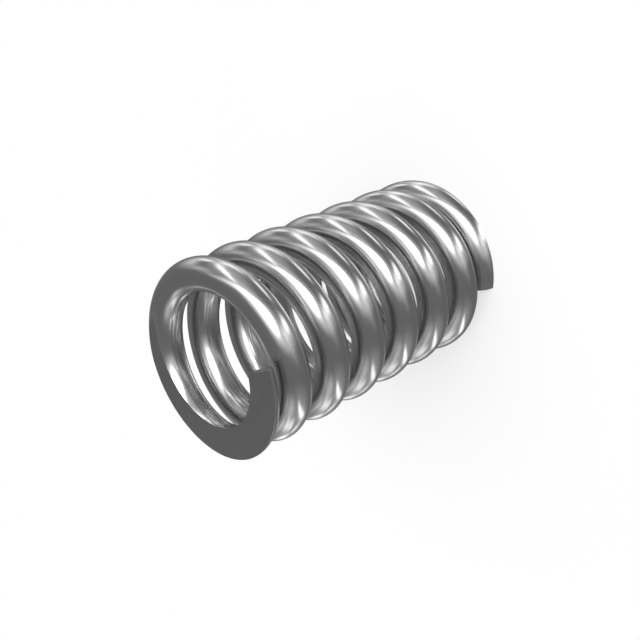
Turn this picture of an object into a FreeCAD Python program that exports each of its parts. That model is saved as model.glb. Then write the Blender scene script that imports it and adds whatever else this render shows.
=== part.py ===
import FreeCAD, Part
import math
import os

# Compression spring: one length of round wire, coiled right-handed, with its end turns
# drawn in and ground flat. It stands on its ground end, coil axis along +Z, with the
# origin at the centre of the lower seat. The lower wire tip points along +X.
# All lengths are in millimetres.

# Driving dimensions
outer_diameter = 12.7
wire_diameter = 2.16
free_length = 21.0
total_turns = 7.05
end_turns = 0.58        # turns at each end that are wound at the closed pitch
blend_turns = 0.36      # turns over which the pitch opens up or closes down
end_coil_gap = 0.17     # clear gap under a full turn of closed pitch
tip_thickness = 0.80    # what grinding leaves of the wire at each tip

# Worked out from the driving dimensions
wire_radius = wire_diameter / 2
coil_radius = (outer_diameter - wire_diameter) / 2
closed_pitch = wire_diameter + end_coil_gap
tip_height = tip_thickness - wire_radius
centreline_rise = free_length - 2 * tip_height
open_turns = total_turns - 2 * (end_turns + blend_turns)
closed_rise = (2 * end_turns + blend_turns) * closed_pitch
open_pitch = (centreline_rise - closed_rise) / (open_turns + blend_turns)

# Wire lost to grinding lies within this height of each seat
grinding_depth = wire_diameter
grinding_reach = outer_diameter


def uv(turns, height):
    """A point of the unrolled coil cylinder: angle along it, height up it."""
    return FreeCAD.Base.Vector2d(2 * math.pi * turns, height)


def steady_run(cylinder, turns, height, length, pitch):
    """A stretch of constant pitch: a straight line on the unrolled cylinder."""
    end_height = height + length * pitch
    line = Part.Geom2d.Line2dSegment(uv(turns, height), uv(turns + length, end_height))
    return line.toShape(cylinder), end_height


def blend_run(cylinder, turns, height, length, pitch_in, pitch_out):
    """A stretch whose pitch changes evenly: a parabola on the unrolled cylinder."""
    end_height = height + length * (pitch_in + pitch_out) / 2
    parabola = Part.Geom2d.BezierCurve2d()
    parabola.setPoles([
        uv(turns, height),
        uv(turns + length / 2, height + length * pitch_in / 2),
        uv(turns + length, end_height),
    ])
    return parabola.toShape(cylinder), end_height


def centreline():
    """The line that the middle of the wire follows, from the lower tip to the upper."""
    cylinder = Part.Cylinder()
    cylinder.Radius = coil_radius
    runs = [
        (end_turns, closed_pitch, closed_pitch),
        (blend_turns, closed_pitch, open_pitch),
        (open_turns, open_pitch, open_pitch),
        (blend_turns, open_pitch, closed_pitch),
        (end_turns, closed_pitch, closed_pitch),
    ]
    edges = []
    turns = 0
    height = tip_height
    for length, pitch_in, pitch_out in runs:
        if pitch_in == pitch_out:
            edge, height = steady_run(cylinder, turns, height, length, pitch_in)
        else:
            edge, height = blend_run(cylinder, turns, height, length, pitch_in, pitch_out)
        edges.append(edge)
        turns += length
    return Part.Wire(edges)


def coiled_wire(path):
    """Round wire swept along the centreline, its ends cut square."""
    first = path.OrderedEdges[0]
    start = first.valueAt(first.FirstParameter)
    direction = first.tangentAt(first.FirstParameter)
    section = Part.Wire(Part.makeCircle(wire_radius, start, direction))
    return path.makePipeShell([section], True, True)


def grinding_stock(bottom):
    """The slab that grinding takes away, with its lower face at the given height."""
    width = 2 * grinding_reach
    corner = FreeCAD.Vector(-grinding_reach, -grinding_reach, bottom)
    return Part.makeBox(width, width, grinding_depth, corner)


def coil_spring():
    """The coiled wire with a flat seat ground on each end."""
    below = grinding_stock(-grinding_depth)
    above = grinding_stock(free_length)
    return coiled_wire(centreline()).cut([below, above])


spring = coil_spring()
print("open pitch", round(open_pitch, 3), "coil radius", round(coil_radius, 3))
print("volume", round(spring.Volume, 2), "solids", len(spring.Solids), "valid", spring.isValid())

os.makedirs("parts", exist_ok=True)
spring.exportStep("parts/coil_spring.step")
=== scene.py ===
import bmesh
import bpy
import math
from mathutils import Matrix, Vector


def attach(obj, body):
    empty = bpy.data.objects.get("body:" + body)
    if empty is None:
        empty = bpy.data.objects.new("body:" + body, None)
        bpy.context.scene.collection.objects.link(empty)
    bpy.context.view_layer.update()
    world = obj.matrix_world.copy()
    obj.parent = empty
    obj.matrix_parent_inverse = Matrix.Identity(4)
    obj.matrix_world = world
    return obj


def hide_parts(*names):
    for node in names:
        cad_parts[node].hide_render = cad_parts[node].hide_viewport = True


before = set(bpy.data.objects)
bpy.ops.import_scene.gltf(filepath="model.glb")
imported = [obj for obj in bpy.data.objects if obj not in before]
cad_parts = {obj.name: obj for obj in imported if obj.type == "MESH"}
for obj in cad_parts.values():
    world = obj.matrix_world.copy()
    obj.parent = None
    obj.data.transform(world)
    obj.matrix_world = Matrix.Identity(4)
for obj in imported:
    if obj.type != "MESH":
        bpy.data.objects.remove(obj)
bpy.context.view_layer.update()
scene = bpy.context.scene


# Sizes

MILLIMETRE = 0.001
FULL_TURN = 2 * math.pi

# The coil as the CAD model winds it
outer_diameter = 12.7 * MILLIMETRE
wire_diameter = 2.16 * MILLIMETRE
free_length = 21.0 * MILLIMETRE
total_turns = 7.05
end_turns = 0.58
blend_turns = 0.36
end_coil_gap = 0.17 * MILLIMETRE
tip_thickness = 0.80 * MILLIMETRE

# The cropping tool cuts the wire a little aslant, so the tips are cut so here
cut_slant = math.radians(11)
cut_lead = 0.06 * MILLIMETRE
cut_turns = 0.1         # turns over which the slant fades away from each tip

wire_radius = wire_diameter / 2
coil_radius = (outer_diameter - wire_diameter) / 2
closed_pitch = wire_diameter + end_coil_gap
tip_height = tip_thickness - wire_radius
open_turns = total_turns - 2 * (end_turns + blend_turns)
closed_rise = (2 * end_turns + blend_turns) * closed_pitch
open_pitch = (free_length - 2 * tip_height - closed_rise) / (open_turns + blend_turns)

# How finely the wire is drawn
rings_along_wire = 1060
facets_round_wire = 64
seam_width = 0.0005 * MILLIMETRE
seat_flatness = 0.00005 * MILLIMETRE


# Node helpers

class Number:
    """A number worked out by a node tree. Arithmetic on it adds the Math node that does it."""

    def __init__(self, tree, socket):
        self.tree = tree
        self.socket = socket

    def math(self, operation, *others):
        node = self.tree.nodes.new("ShaderNodeMath")
        node.operation = operation
        for socket, value in zip(node.inputs, (self,) + others):
            feed(self.tree, socket, value)
        return Number(self.tree, node.outputs[0])

    def __add__(self, other):
        return self.math("ADD", other)

    def __sub__(self, other):
        return self.math("SUBTRACT", other)

    def __mul__(self, other):
        return self.math("MULTIPLY", other)

    def __truediv__(self, other):
        return self.math("DIVIDE", other)

    def at_least(self, other):
        return self.math("MAXIMUM", other)

    def at_most(self, other):
        return self.math("MINIMUM", other)

    def between(self, low, high):
        return self.at_least(low).at_most(high)

    def is_above(self, other):
        return self.math("GREATER_THAN", other)

    def is_below(self, other):
        return self.math("LESS_THAN", other)


def feed(tree, socket, value):
    """Gives a socket a link to a worked-out value, or a plain value of its own."""
    if isinstance(value, Number):
        tree.links.new(value.socket, socket)
    elif isinstance(value, bpy.types.NodeSocket):
        tree.links.new(value, socket)
    else:
        socket.default_value = value


def add_node(tree, kind, settings=None, **inputs):
    """Adds a node; inputs are named by their sockets, with _ for a space."""
    node = tree.nodes.new(kind)
    for name, value in (settings or {}).items():
        setattr(node, name, value)
    for name, value in inputs.items():
        feed(tree, node.inputs[name.replace("_", " ")], value)
    return node


def vector_of(tree, x, y, z):
    return add_node(tree, "ShaderNodeCombineXYZ", X=x, Y=y, Z=z).outputs[0]


def vector_math(tree, operation, first, second=None):
    node = tree.nodes.new("ShaderNodeVectorMath")
    node.operation = operation
    feed(tree, node.inputs[0], first)
    if second is not None:
        feed(tree, node.inputs[1], second)
    if operation == "DOT_PRODUCT":
        return Number(tree, node.outputs["Value"])
    return node.outputs["Vector"]


def stretch(tree, vector, amount):
    node = tree.nodes.new("ShaderNodeVectorMath")
    node.operation = "SCALE"
    feed(tree, node.inputs["Vector"], vector)
    feed(tree, node.inputs["Scale"], amount)
    return node.outputs["Vector"]


def parts_of(tree, vector):
    split = tree.nodes.new("ShaderNodeSeparateXYZ")
    feed(tree, split.inputs[0], vector)
    return [Number(tree, output) for output in split.outputs]


def smooth_step(tree, value, start, end):
    """0 up to start, 1 from end on, and a soft curve between."""
    ramp = tree.nodes.new("ShaderNodeMapRange")
    ramp.interpolation_type = "SMOOTHSTEP"
    feed(tree, ramp.inputs["Value"], value)
    feed(tree, ramp.inputs["From Min"], start)
    feed(tree, ramp.inputs["From Max"], end)
    return Number(tree, ramp.outputs["Result"])


def add_sockets(tree, direction, **sockets):
    """Adds named sockets to a tree; each is given as its type, or its type and default."""
    for name, kind in sockets.items():
        default = None
        if isinstance(kind, tuple):
            kind, default = kind
        label = name.replace("_", " ")
        socket = tree.interface.new_socket(label, in_out=direction, socket_type="NodeSocket" + kind)
        if default is not None:
            socket.default_value = default


# Steel finishes

def new_group(name, inputs, outputs):
    """Starts a shader group: gives back the group, its inputs by name and its end node."""
    group = bpy.data.node_groups.new(name, "ShaderNodeTree")
    add_sockets(group, "INPUT", **inputs)
    add_sockets(group, "OUTPUT", **outputs)
    start = group.nodes.new("NodeGroupInput")
    end = group.nodes.new("NodeGroupOutput")
    given = {socket.name: Number(group, socket) for socket in start.outputs if socket.name}
    return group, given, end


def noise(tree, vector, scale=1.0, detail=2.0, roughness=0.5):
    node = add_node(tree, "ShaderNodeTexNoise", Vector=vector, Scale=scale)
    node.inputs["Detail"].default_value = detail
    node.inputs["Roughness"].default_value = roughness
    return Number(tree, node.outputs[0])


def make_fine_lines_group():
    """Parallel hairlines, as a die or a grinding wheel leaves: finer across X and Y than along Z."""
    group, given, end = new_group(
        "fine_lines",
        dict(Place="Vector", Line_Width=("Float", 0.1 * MILLIMETRE),
             Line_Length=("Float", 8 * MILLIMETRE), Sharpness=("Float", 0.5)),
        dict(Lines="Float"),
    )
    x, y, z = parts_of(group, given["Place"])
    across_x = x / given["Line Width"]
    across_y = y / given["Line Width"]
    along = z / given["Line Length"]
    fine = noise(group, vector_of(group, across_x, across_y, along), detail=3.0, roughness=0.6)

    # Broader, longer streaks show through the fine lines
    streak_fineness = 0.23
    streak_shortness = 0.4
    streak_place = vector_of(group, across_x * streak_fineness, across_y * streak_fineness,
                             along * streak_shortness)
    streaks = noise(group, streak_place)
    mixed = fine * 0.6 + streaks * 0.4

    # The sharper the lines, the nearer their two limits lie to the middle
    low = given["Sharpness"] * 0.25 + 0.25
    high = low * -1.0 + 1.0
    lines = smooth_step(group, mixed, low, high)
    feed(group, end.inputs["Lines"], lines)
    return group


def make_handling_film_group():
    """Soft uneven patches of thin oil and handling, which dull the polish here and there."""
    group, given, end = new_group(
        "handling_film",
        dict(Place="Vector", Patch_Size=("Float", 2.5 * MILLIMETRE)),
        dict(Film="Float"),
    )
    x, y, z = parts_of(group, given["Place"])
    patch_size = given["Patch Size"]
    place = vector_of(group, x / patch_size, y / patch_size, z / patch_size * 0.5)
    patches = noise(group, place, detail=4.0, roughness=0.55)
    film = smooth_step(group, patches, 0.3, 0.72)
    feed(group, end.inputs["Film"], film)
    return group


fine_lines = make_fine_lines_group()
handling_film = make_handling_film_group()


def use_group(tree, group, **inputs):
    node = tree.nodes.new("ShaderNodeGroup")
    node.node_tree = group
    for name, value in inputs.items():
        feed(tree, node.inputs[name.replace("_", " ")], value)
    return Number(tree, node.outputs[0])


def blend_colours(tree, share, first, second):
    mix = tree.nodes.new("ShaderNodeMix")
    mix.data_type = "RGBA"
    sockets = {socket.identifier: socket for socket in list(mix.inputs) + list(mix.outputs)}
    feed(tree, sockets["Factor_Float"], share)
    feed(tree, sockets["A_Color"], first)
    feed(tree, sockets["B_Color"], second)
    return sockets["Result_Color"]


def grey(level, warmth=0.0):
    """A steel grey; warmth leans it a little towards straw or, below zero, towards blue."""
    return (level * (1 + warmth), level, level * (1 - warmth), 1.0)


def bumped_normal(tree, height, distance):
    bump = add_node(tree, "ShaderNodeBump", Height=height)
    bump.inputs["Distance"].default_value = distance
    return bump.outputs["Normal"]


def new_metal(name):
    material = bpy.data.materials.new(name)
    material.use_nodes = True
    tree = material.node_tree
    shader = tree.nodes["Principled BSDF"]
    shader.inputs["Metallic"].default_value = 1.0
    return material, tree, shader


def object_place(tree):
    return tree.nodes.new("ShaderNodeTexCoord").outputs["Object"]


def make_drawn_wire_steel():
    """Hard-drawn spring wire: polished, with die lines that run along the wire."""
    material, tree, shader = new_metal("drawn_wire_steel")
    place = add_node(tree, "ShaderNodeAttribute", dict(attribute_name="wire_place")).outputs["Vector"]
    die_lines = use_group(tree, fine_lines, Place=place, Line_Width=0.09 * MILLIMETRE,
                          Line_Length=9 * MILLIMETRE, Sharpness=0.3)
    broad_lines = use_group(tree, fine_lines, Place=place, Line_Width=0.34 * MILLIMETRE,
                            Line_Length=22 * MILLIMETRE, Sharpness=0.2)
    film = use_group(tree, handling_film, Place=place, Patch_Size=2.2 * MILLIMETRE)

    # Lighter band beside each seat: the burnish that the grinding wheel leaves, plus a painted
    # highlight along the ground edge
    height = parts_of(tree, object_place(tree))[2]
    from_seat = height.at_most(height * -1.0 + free_length)
    burnish_and_edge_highlight = smooth_step(tree, from_seat, 0.10 * MILLIMETRE, 0.02 * MILLIMETRE)

    clean_steel = grey(0.60)
    dulled_steel = grey(0.54, 0.006)
    # The lighter steel for that band is partly burnish and partly a painted highlight on the edge
    burnished_and_highlit_steel = grey(0.68)
    shade = film * 0.45 + die_lines * 0.35 + broad_lines * 0.2
    colour = blend_colours(tree, shade, clean_steel, dulled_steel)
    # Mixes the painted edge highlight and burnish into the wire's colour near both seats
    colour = blend_colours(tree, burnish_and_edge_highlight * 0.6, colour, burnished_and_highlit_steel)
    feed(tree, shader.inputs["Base Color"], colour)

    polish = 0.165
    dulling = die_lines * 0.04 + film * 0.05 + broad_lines * 0.02
    feed(tree, shader.inputs["Roughness"], dulling + polish)

    relief = die_lines * 0.5 + broad_lines * 0.5
    line_depth = 0.00015 * MILLIMETRE
    feed(tree, shader.inputs["Normal"], bumped_normal(tree, relief, line_depth))
    return material


def make_ground_seat_steel():
    """End seats ground flat: dark satin with fine parallel wheel marks."""
    material, tree, shader = new_metal("ground_seat_steel")
    place = object_place(tree)
    wheel_direction = math.radians(28)
    turned = add_node(tree, "ShaderNodeVectorRotate", dict(rotation_type="Z_AXIS"), Vector=place,
                      Angle=wheel_direction)
    x, y, _ = parts_of(tree, turned.outputs[0])

    # The wheel's marks are shallow arcs, far wider than the seat
    arc_bow = 6.0
    bowed = x + y * y * arc_bow
    across = vector_of(tree, bowed, 0.0, y)
    wheel_marks = use_group(tree, fine_lines, Place=across, Line_Width=0.07 * MILLIMETRE,
                            Line_Length=4 * MILLIMETRE, Sharpness=0.45)
    deep_marks = use_group(tree, fine_lines, Place=across, Line_Width=0.26 * MILLIMETRE,
                           Line_Length=9 * MILLIMETRE, Sharpness=0.8)
    film = use_group(tree, handling_film, Place=place, Patch_Size=1.8 * MILLIMETRE)

    clean_seat = grey(0.47)
    scored_seat = grey(0.40)
    shade = wheel_marks * 0.5 + deep_marks * 0.25 + film * 0.25
    feed(tree, shader.inputs["Base Color"], blend_colours(tree, shade, clean_seat, scored_seat))

    satin = 0.30
    feed(tree, shader.inputs["Roughness"], wheel_marks * 0.08 + film * 0.05 + satin)

    relief = wheel_marks * 0.6 + deep_marks * 0.8
    mark_depth = 0.0035 * MILLIMETRE
    feed(tree, shader.inputs["Normal"], bumped_normal(tree, relief, mark_depth))
    return material


def make_cut_tip_steel():
    """Face of the wire where it was cropped from the coil: sheared smooth, then torn."""
    material, tree, shader = new_metal("cut_tip_steel")
    place = object_place(tree)
    x, y, z = parts_of(tree, place)
    shear_lines = use_group(tree, fine_lines, Place=vector_of(tree, x, y * 0.1, z * 2.0),
                            Line_Width=0.05 * MILLIMETRE, Line_Length=1.6 * MILLIMETRE,
                            Sharpness=0.6)
    torn_grains = 9 / MILLIMETRE
    torn = noise(tree, place, torn_grains, detail=4.0, roughness=0.65)

    sheared_steel = grey(0.50)
    scored_steel = grey(0.38)
    colour = blend_colours(tree, shear_lines, sheared_steel, scored_steel)
    feed(tree, shader.inputs["Base Color"], colour)
    feed(tree, shader.inputs["Roughness"], torn * 0.16 + 0.28)

    relief = shear_lines * 0.6 + torn * 0.5
    torn_depth = 0.006 * MILLIMETRE
    feed(tree, shader.inputs["Normal"], bumped_normal(tree, relief, torn_depth))
    return material


# The coiled wire

def is_halfway(flag):
    """1 on an edge where only one of its two faces has the flag."""
    return (flag - 0.5).math("ABSOLUTE").is_below(0.25)


def make_coil_tree(drawn_wire, ground_seat, cut_tip):
    """A sheet of rings and facets is rolled into the wire and wound into the coil.

    The middle is wound at the open pitch. The pitch closes towards both ends, where the wire
    is cropped a little aslant and each seat is ground flat. Where a seat cuts into the wire,
    the points past it slide round the section to the edge of the cut, so the edge is crisp.
    """
    tree = bpy.data.node_groups.new("closed_and_ground_coil", "GeometryNodeTree")
    add_sockets(
        tree, "INPUT",
        Coil_Radius="Float", Wire_Radius="Float", Free_Length="Float", Tip_Height="Float",
        Total_Turns="Float", End_Turns="Float", Blend_Turns="Float",
        Closed_Pitch="Float", Open_Pitch="Float",
        Cut_Slant="Float", Cut_Lead="Float", Cut_Turns="Float",
        Rings_Along_Wire="Int", Facets_Round_Wire="Int",
    )
    add_sockets(tree, "OUTPUT", Wire="Geometry")
    start = tree.nodes.new("NodeGroupInput")
    size = {socket.name: Number(tree, socket) for socket in start.outputs if socket.name}
    rings = size["Rings Along Wire"]
    facets = size["Facets Round Wire"]

    sheet = add_node(tree, "GeometryNodeMeshGrid", Size_X=1.0, Size_Y=1.0,
                     Vertices_X=rings, Vertices_Y=facets + 1.0)
    spot = tree.nodes.new("GeometryNodeInputPosition").outputs[0]
    sheet_x, sheet_y, _ = parts_of(tree, spot)

    # Turns from the lower tip; the first and last rings close the wire's two cut faces
    ring = ((sheet_x + 0.5) * (rings - 1.0)).math("ROUND")
    turns = ((ring - 1.0) / (rings - 3.0)).between(0.0, 1.0) * size["Total Turns"]
    closes_end = ring.is_below(0.5) + ring.is_above(rings - 1.5)

    # Height of the wire's centre line, counted from the nearer tip
    from_tip = turns.at_most(size["Total Turns"] - turns)
    past_closed = (from_tip - size["End Turns"]).at_least(0.0)
    blended = past_closed.at_most(size["Blend Turns"])
    opening = size["Open Pitch"] - size["Closed Pitch"]
    closed_part = from_tip.at_most(size["End Turns"]) * size["Closed Pitch"]
    blend_part = (blended * size["Closed Pitch"]
                  + opening * blended * blended / (size["Blend Turns"] * 2.0))
    open_part = (past_closed - size["Blend Turns"]).at_least(0.0) * size["Open Pitch"]
    low_height = size["Tip Height"] + closed_part + blend_part + open_part
    high_height = size["Free Length"] - low_height
    upper_half = turns.is_above(size["Total Turns"] * 0.5)
    height = low_height + (high_height - low_height) * upper_half
    pitch_here = size["Closed Pitch"] + opening * (blended / size["Blend Turns"])

    # Directions at this point of the coil
    angle = turns * FULL_TURN
    east = angle.math("COSINE")
    north = angle.math("SINE")
    circle = size["Coil Radius"] * FULL_TURN
    outward = vector_of(tree, east, north, 0.0)
    heading = vector_of(tree, north * circle * -1.0, east * circle, pitch_here)
    along = vector_math(tree, "NORMALIZE", heading)
    upward = vector_math(tree, "CROSS_PRODUCT", outward, along)
    reach = size["Wire Radius"] * parts_of(tree, upward)[2]

    # Round section, cut where it would pass the seats
    lower_cut = (height * -1.0 / reach).between(-1.0, 1.0)
    upper_cut = ((size["Free Length"] - height) / reach).between(-1.0, 1.0)
    section_angle = (sheet_y + 0.5) * FULL_TURN
    side = section_angle.math("COSINE").math("SIGN")
    up_share = section_angle.math("SINE").at_least(lower_cut).at_most(upper_cut)
    out_share = side * (up_share * up_share * -1.0 + 1.0).at_least(0.0).math("SQRT")

    # A closing ring shrinks to one point, in the middle of what the seat leaves of the wire
    stays_open = closes_end * -1.0 + 1.0
    out_share = out_share * stays_open
    up_share = up_share * stays_open + (lower_cut + upper_cut) * 0.5 * closes_end
    outwards = out_share * size["Wire Radius"]
    upwards = up_share * size["Wire Radius"]

    centre = vector_of(tree, east * size["Coil Radius"], north * size["Coil Radius"], height)
    offset = vector_math(tree, "ADD", stretch(tree, outward, outwards), stretch(tree, upward, upwards))
    square_place = vector_math(tree, "ADD", centre, offset)

    # The cut leans the same way in the wire at both tips
    near_tip = smooth_step(tree, from_tip, size["Cut Turns"], 0.0)
    lead = size["Cut Lead"] * (upper_half * 2.0 - 1.0)
    aslant = outwards * size["Cut Slant"].math("TANGENT")
    advance = (lead + aslant) * near_tip / size["Coil Radius"]
    turned = add_node(tree, "ShaderNodeVectorRotate", dict(rotation_type="Z_AXIS"),
                      Vector=square_place, Angle=advance)
    place = turned.outputs["Vector"]

    # Place on the wire for the die lines, kept with the mesh
    along_wire = turns * circle
    noted = add_node(tree, "GeometryNodeStoreNamedAttribute", dict(data_type="FLOAT_VECTOR"),
                     Geometry=sheet.outputs["Mesh"], Name="wire_place",
                     Value=vector_of(tree, outwards, upwards, along_wire))

    # The first and last columns of faces become the two cut tips
    face_column = (sheet_x + 0.5) * (rings - 1.0)
    kept = tree.nodes.new("GeometryNodeCaptureAttribute")
    kept.domain = "FACE"
    kept.capture_items.new("FLOAT", "On Tip")
    feed(tree, kept.inputs["Geometry"], noted.outputs["Geometry"])
    feed(tree, kept.inputs["On Tip"], face_column.is_below(1.0) + face_column.is_above(rings - 2.0))
    on_tip = Number(tree, kept.outputs["On Tip"])

    wound = add_node(tree, "GeometryNodeSetPosition", Geometry=kept.outputs["Geometry"],
                     Position=place)
    closed = add_node(tree, "GeometryNodeMergeByDistance", Geometry=wound.outputs["Geometry"],
                      Distance=seam_width)

    # A face lies on a seat where its middle is level with that seat
    wound_place = tree.nodes.new("GeometryNodeInputPosition").outputs[0]
    face_height = parts_of(tree, wound_place)[2]
    level_below = face_height.is_below(seat_flatness)
    level_above = face_height.is_above(size["Free Length"] - seat_flatness)
    per_face = add_node(tree, "GeometryNodeFieldOnDomain", dict(domain="FACE"),
                        Value=level_below + level_above)
    on_seat = Number(tree, per_face.outputs[0])

    wire = closed.outputs["Geometry"]
    for material, chosen in ((drawn_wire, None), (ground_seat, on_seat), (cut_tip, on_tip)):
        painted = add_node(tree, "GeometryNodeSetMaterial", Geometry=wire, Material=material)
        if chosen is not None:
            feed(tree, painted.inputs["Selection"], chosen)
        wire = painted.outputs["Geometry"]

    # Smooth all over, but crisp round the seats and the cut tips
    smooth = add_node(tree, "GeometryNodeSetShadeSmooth", dict(domain="FACE"), Geometry=wire)
    rims = is_halfway(on_seat) + is_halfway(on_tip)
    crisp = add_node(tree, "GeometryNodeSetShadeSmooth", dict(domain="EDGE"),
                     Geometry=smooth.outputs["Geometry"], Selection=rims, Shade_Smooth=False)

    realized = add_node(tree, "GeometryNodeRealizeInstances", Geometry=crisp.outputs["Geometry"])
    finish = tree.nodes.new("NodeGroupOutput")
    feed(tree, finish.inputs["Wire"], realized.outputs["Geometry"])
    return tree


def wind_spring():
    """Runs the coil tree once and keeps what it makes as a plain mesh."""
    tree = make_coil_tree(
        make_drawn_wire_steel(), make_ground_seat_steel(), make_cut_tip_steel(),
    )
    blank = bpy.data.objects.new("coil_blank", bpy.data.meshes.new("coil_blank"))
    scene.collection.objects.link(blank)
    winding = blank.modifiers.new("winding", "NODES")
    winding.node_group = tree
    sizes = {
        "Coil Radius": coil_radius,
        "Wire Radius": wire_radius,
        "Free Length": free_length,
        "Tip Height": tip_height,
        "Total Turns": total_turns,
        "End Turns": end_turns,
        "Blend Turns": blend_turns,
        "Closed Pitch": closed_pitch,
        "Open Pitch": open_pitch,
        "Cut Slant": cut_slant,
        "Cut Lead": cut_lead,
        "Cut Turns": cut_turns,
        "Rings Along Wire": rings_along_wire,
        "Facets Round Wire": facets_round_wire,
    }
    for item in tree.interface.items_tree:
        if item.in_out == "INPUT":
            winding[item.identifier] = sizes[item.name]
    wound = blank.evaluated_get(bpy.context.evaluated_depsgraph_get())
    mesh = bpy.data.meshes.new_from_object(wound)
    mesh.name = "coiled_wire"
    # The sheet's own empty slot comes first
    mesh.materials.pop(index=0)
    bpy.data.objects.remove(blank)
    wire = bpy.data.objects.new("coiled_wire", mesh)
    scene.collection.objects.link(wire)
    return wire


# Studio

tent_grey = 0.195
tent_radius = 250 * MILLIMETRE
floor_radius = 30 * MILLIMETRE
floor_paleness = 0.94
floor_roughness = 0.9
floor_shine = 0.1
floor_whiteness = 0.6
overhead_lamp_size = 200 * MILLIMETRE
overhead_lamp_height = 200 * MILLIMETRE
overhead_lamp_power = 0.16

# A soft light's outline lies between an ellipse, at 2, and a rectangle
light_squareness = 2.6
# Cosine of the angle from its aim past which a soft light gives nothing
least_facing = 0.02


def make_soft_light_group():
    """One soft-edged light on the tent wall: 1 inside, fading to 0 round its edge."""
    group, given, end = new_group(
        "soft_light",
        dict(Direction="Vector", Aim="Vector", Across="Vector", Upright="Vector",
             Half_Width="Float", Half_Height="Float", Softness="Float"),
        dict(Light="Float"),
    )
    depth = vector_math(group, "DOT_PRODUCT", given["Direction"], given["Aim"])
    sideways = vector_math(group, "DOT_PRODUCT", given["Direction"], given["Across"])
    upwards = vector_math(group, "DOT_PRODUCT", given["Direction"], given["Upright"])
    in_front = depth.at_least(least_facing)
    x = (sideways / in_front / given["Half Width"]).math("ABSOLUTE")
    y = (upwards / in_front / given["Half Height"]).math("ABSOLUTE")
    both = x.math("POWER", light_squareness) + y.math("POWER", light_squareness)
    reach = both.math("POWER", 1 / light_squareness)
    inner = given["Softness"] * -1.0 + 1.0
    outer = given["Softness"] + 1.0
    light = smooth_step(group, reach, outer, inner) * depth.is_above(least_facing)
    feed(group, end.inputs["Light"], light)
    return group


soft_light = make_soft_light_group()


def shine(tree, direction, azimuth, elevation, width, height, lean=0, softness=0.4, strength=1.0):
    """A soft light on the tent, in degrees. lean tips its top towards greater azimuth."""
    turn = math.radians(azimuth)
    lift = math.radians(elevation)
    tip = math.radians(lean)
    aim = Vector((math.cos(lift) * math.cos(turn), math.cos(lift) * math.sin(turn), math.sin(lift)))
    level = Vector((-math.sin(turn), math.cos(turn), 0.0))
    steep = aim.cross(level)
    across = level * math.cos(tip) - steep * math.sin(tip)
    upright = level * math.sin(tip) + steep * math.cos(tip)
    light = use_group(
        tree, soft_light, Direction=direction, Aim=aim, Across=across, Upright=upright,
        Half_Width=math.tan(math.radians(width / 2)), Half_Height=math.tan(math.radians(height / 2)),
        Softness=softness,
    )
    return light * strength


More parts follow.
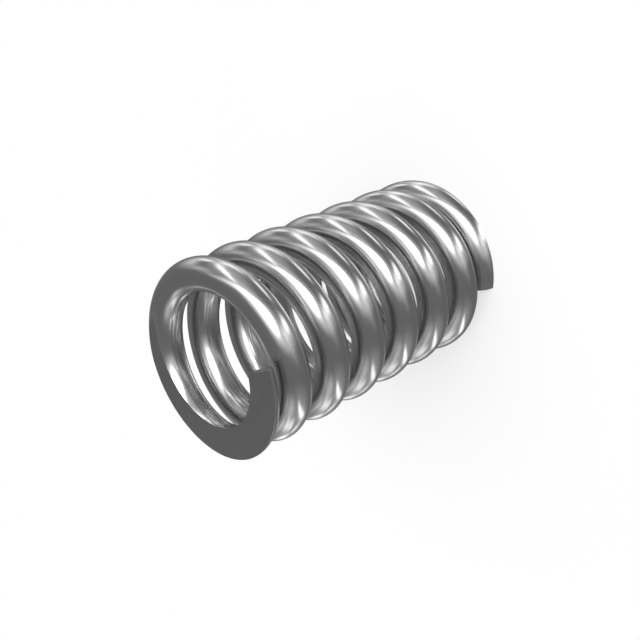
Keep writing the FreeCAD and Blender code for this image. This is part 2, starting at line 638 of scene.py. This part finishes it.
def make_tent_wall():
    """Grey tent lit through its wall by a window, strips and small patches of soft light."""
    material = bpy.data.materials.new("tent_wall")
    material.use_nodes = True
    tree = material.node_tree
    tree.nodes.clear()
    direction = vector_math(tree, "NORMALIZE", object_place(tree))

    # One big window, whose lower edge slants, with a tail and a glow above it
    window = (
        shine(tree, direction, 50, 37.5, 39, 41, strength=2.6, softness=0.17)
        + shine(tree, direction, 47, 28, 20, 31, lean=-16, strength=1.8, softness=0.3)
        + shine(tree, direction, 69, 33, 44, 18, lean=-33, strength=1.8, softness=0.3)
        + shine(tree, direction, 80, 45, 34, 19, lean=-20, strength=1.8, softness=0.2)
        + shine(tree, direction, 102, 49, 30, 12, lean=-10, strength=1.1, softness=0.5)
        + shine(tree, direction, 129, 54, 28, 10, strength=0.8, softness=0.6)
        + shine(tree, direction, 55, 63, 40, 18, strength=0.65, softness=0.5)
        + shine(tree, direction, 19, 18, 19, 64, strength=0.6, softness=0.8)
        + shine(tree, direction, 82, 17, 40, 14, lean=-25, strength=0.3, softness=0.7)
        + shine(tree, direction, 49, 3, 26, 9, strength=0.4, softness=0.7)
    )
    # A tall strip low on the left of it
    left_strip = (
        shine(tree, direction, 41, -34, 15, 32, lean=-18, strength=1.8, softness=0.2)
        + shine(tree, direction, 33, -10, 12, 42, lean=-14, strength=1.3, softness=0.3)
        + shine(tree, direction, 25, -28, 16, 64, lean=-8, strength=0.35, softness=0.7)
        + shine(tree, direction, 4, -6, 16, 30, strength=0.12, softness=0.7)
    )
    # A slanting strip on the right, which ends in two soft patches
    right_strip = (
        shine(tree, direction, 118, 16, 9.5, 46, lean=-32, strength=2.2, softness=0.3)
        + shine(tree, direction, 132, -16, 12, 26, lean=-20, strength=1.0, softness=0.6)
        + shine(tree, direction, 128, -30, 22, 14, strength=1.3, softness=0.6)
        + shine(tree, direction, 142, -42, 22, 20, lean=25, strength=0.7, softness=0.7)
        + shine(tree, direction, 109, 13, 48, 52, strength=0.24, softness=0.6)
        + shine(tree, direction, 111, -6, 18, 54, strength=0.13, softness=0.8)
    )
    # Spots between and beyond the strips
    small_spots = (
        shine(tree, direction, 95, -45, 24, 11, strength=1.9, softness=0.45)
        + shine(tree, direction, 128, -51, 32, 9, strength=0.5, softness=0.6)
        + shine(tree, direction, 147, -10, 13, 12, strength=1.8, softness=0.6)
        + shine(tree, direction, 157, -2, 11, 34, strength=0.6, softness=0.6)
        + shine(tree, direction, 162, 8, 15, 68, lean=-12, strength=0.32, softness=0.6)
        + shine(tree, direction, 147, 35, 16, 17, lean=-35, strength=0.36, softness=0.6)
        + shine(tree, direction, 153, -29, 15, 11, strength=0.75, softness=0.6)
    )
    # The far side: a slanting strip and a cluster of soft patches
    far_side = (
        shine(tree, direction, -62, -8, 9, 43, lean=32, strength=1.9, softness=0.4)
        + shine(tree, direction, -90, 20, 15, 12, lean=-40, strength=1.15, softness=0.6)
        + shine(tree, direction, -83, 10, 17, 12, lean=-30, strength=1.15, softness=0.6)
        + shine(tree, direction, -106, 28, 15, 9, strength=0.85, softness=0.7)
        + shine(tree, direction, -104, -8, 12, 15, lean=25, strength=1.4, softness=0.5)
        + shine(tree, direction, -87, -14, 16, 9, lean=20, strength=1.15, softness=0.5)
        + shine(tree, direction, -75, 34, 28, 18, lean=12, strength=0.45, softness=0.7)
        + shine(tree, direction, -130, 12, 17, 12, strength=0.45, softness=0.7)
        + shine(tree, direction, -74, 0, 80, 64, strength=0.2, softness=0.6)
    )
    under_glow = shine(tree, direction, 70, -86, 36, 36, strength=0.2, softness=0.5)
    brightness = window + left_strip + right_strip + small_spots + far_side + under_glow + tent_grey
    glow = tree.nodes.new("ShaderNodeEmission")
    feed(tree, glow.inputs["Color"], vector_of(tree, brightness, brightness, brightness))
    output = tree.nodes.new("ShaderNodeOutputMaterial")
    tree.links.new(glow.outputs[0], output.inputs["Surface"])
    return material


def pitch_tent():
    """The camera stands outside the tent and sees only the object and the pale floor."""
    form = bmesh.new()
    bmesh.ops.create_uvsphere(form, u_segments=64, v_segments=32, radius=tent_radius)
    mesh = bpy.data.meshes.new("studio_tent")
    form.to_mesh(mesh)
    form.free()
    mesh.materials.append(make_tent_wall())
    tent = bpy.data.objects.new("studio_tent", mesh)
    scene.collection.objects.link(tent)
    tent.visible_camera = False


def lay_floor():
    """A small round sheet of pale card that turns into the white backdrop at its rim."""
    form = bmesh.new()
    bmesh.ops.create_circle(form, cap_ends=True, segments=96, radius=floor_radius)
    mesh = bpy.data.meshes.new("studio_floor")
    form.to_mesh(mesh)
    form.free()
    floor = bpy.data.objects.new("studio_floor", mesh)
    scene.collection.objects.link(floor)

    material = bpy.data.materials.new("pale_card")
    material.use_nodes = True
    tree = material.node_tree
    shader = tree.nodes["Principled BSDF"]
    shader.inputs["Base Color"].default_value = grey(floor_paleness)
    shader.inputs["Roughness"].default_value = floor_roughness
    shader.inputs["Specular IOR Level"].default_value = floor_shine
    # The camera sees the card partly as plain white, and towards its rim wholly so: it keeps a
    # faint shadow and has no visible edge
    plain_white = add_node(tree, "ShaderNodeEmission", Color=grey(1.0), Strength=1.0)
    seen = Number(tree, tree.nodes.new("ShaderNodeLightPath").outputs["Is Camera Ray"])
    place = object_place(tree)
    from_middle = vector_math(tree, "DOT_PRODUCT", place, place).math("SQRT")
    fade_start = floor_radius * 0.2
    fade_end = floor_radius * 0.98
    rim = smooth_step(tree, from_middle, fade_start, fade_end)
    whiteness = rim * (1 - floor_whiteness) + floor_whiteness
    card = add_node(tree, "ShaderNodeMixShader", Fac=seen * whiteness)
    tree.links.new(shader.outputs[0], card.inputs[1])
    tree.links.new(plain_white.outputs[0], card.inputs[2])
    tree.links.new(card.outputs[0], tree.nodes["Material Output"].inputs["Surface"])
    mesh.materials.append(material)
    floor.visible_glossy = False


def hang_floor_lamp():
    """A broad overhead lamp brings the pale floor to its own colour. The bare metal doesn't show it."""
    lamp = bpy.data.lights.new("overhead_lamp", "AREA")
    lamp.shape = "DISK"
    lamp.size = overhead_lamp_size
    lamp.energy = overhead_lamp_power
    hanging = bpy.data.objects.new("overhead_lamp", lamp)
    hanging.location = (0.0, 0.0, overhead_lamp_height)
    hanging.visible_camera = False
    hanging.visible_glossy = False
    scene.collection.objects.link(hanging)


pitch_tent()
lay_floor()
hang_floor_lamp()

# Plain white behind everything. Only the camera sees it, because the tent stands in between
world = bpy.data.worlds.new("white_backdrop")
world.use_nodes = True
backdrop = world.node_tree.nodes["Background"]
backdrop.inputs["Color"].default_value = grey(1.0)
backdrop.inputs["Strength"].default_value = 1.0
scene.world = world
scene.view_settings.view_transform = "Standard"


# Camera

# The photograph looks down the coil from beside its upper end, with the frame turned
camera_aim = Vector((0.0, -0.75, 11.1)) * MILLIMETRE
camera_distance = 57.42 * MILLIMETRE
camera_azimuth = math.radians(38.61)
camera_elevation = math.radians(38.51)
camera_roll = math.radians(-115.44)

# The lens, in the camera's own millimetres
focal_length = 47.45
sensor_width = 36.0

backwards = Vector((
    math.cos(camera_elevation) * math.cos(camera_azimuth),
    math.cos(camera_elevation) * math.sin(camera_azimuth),
    math.sin(camera_elevation),
))
rightwards = Vector((-math.sin(camera_azimuth), math.cos(camera_azimuth), 0.0))
upwards = backwards.cross(rightwards)
upright_view = Matrix((rightwards, upwards, backwards)).transposed().to_4x4()
standing = Matrix.Translation(camera_aim + backwards * camera_distance)

lens = bpy.data.cameras.new("photo_view")
lens.lens = focal_length
lens.sensor_width = sensor_width
lens.clip_start = 1.0 * MILLIMETRE
camera = bpy.data.objects.new("photo_view", lens)
camera.matrix_world = standing @ upright_view @ Matrix.Rotation(camera_roll, 4, "Z")
scene.collection.objects.link(camera)
scene.camera = camera


# The piece

coiled_wire = wind_spring()
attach(coiled_wire, "root")
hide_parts("coil_spring")
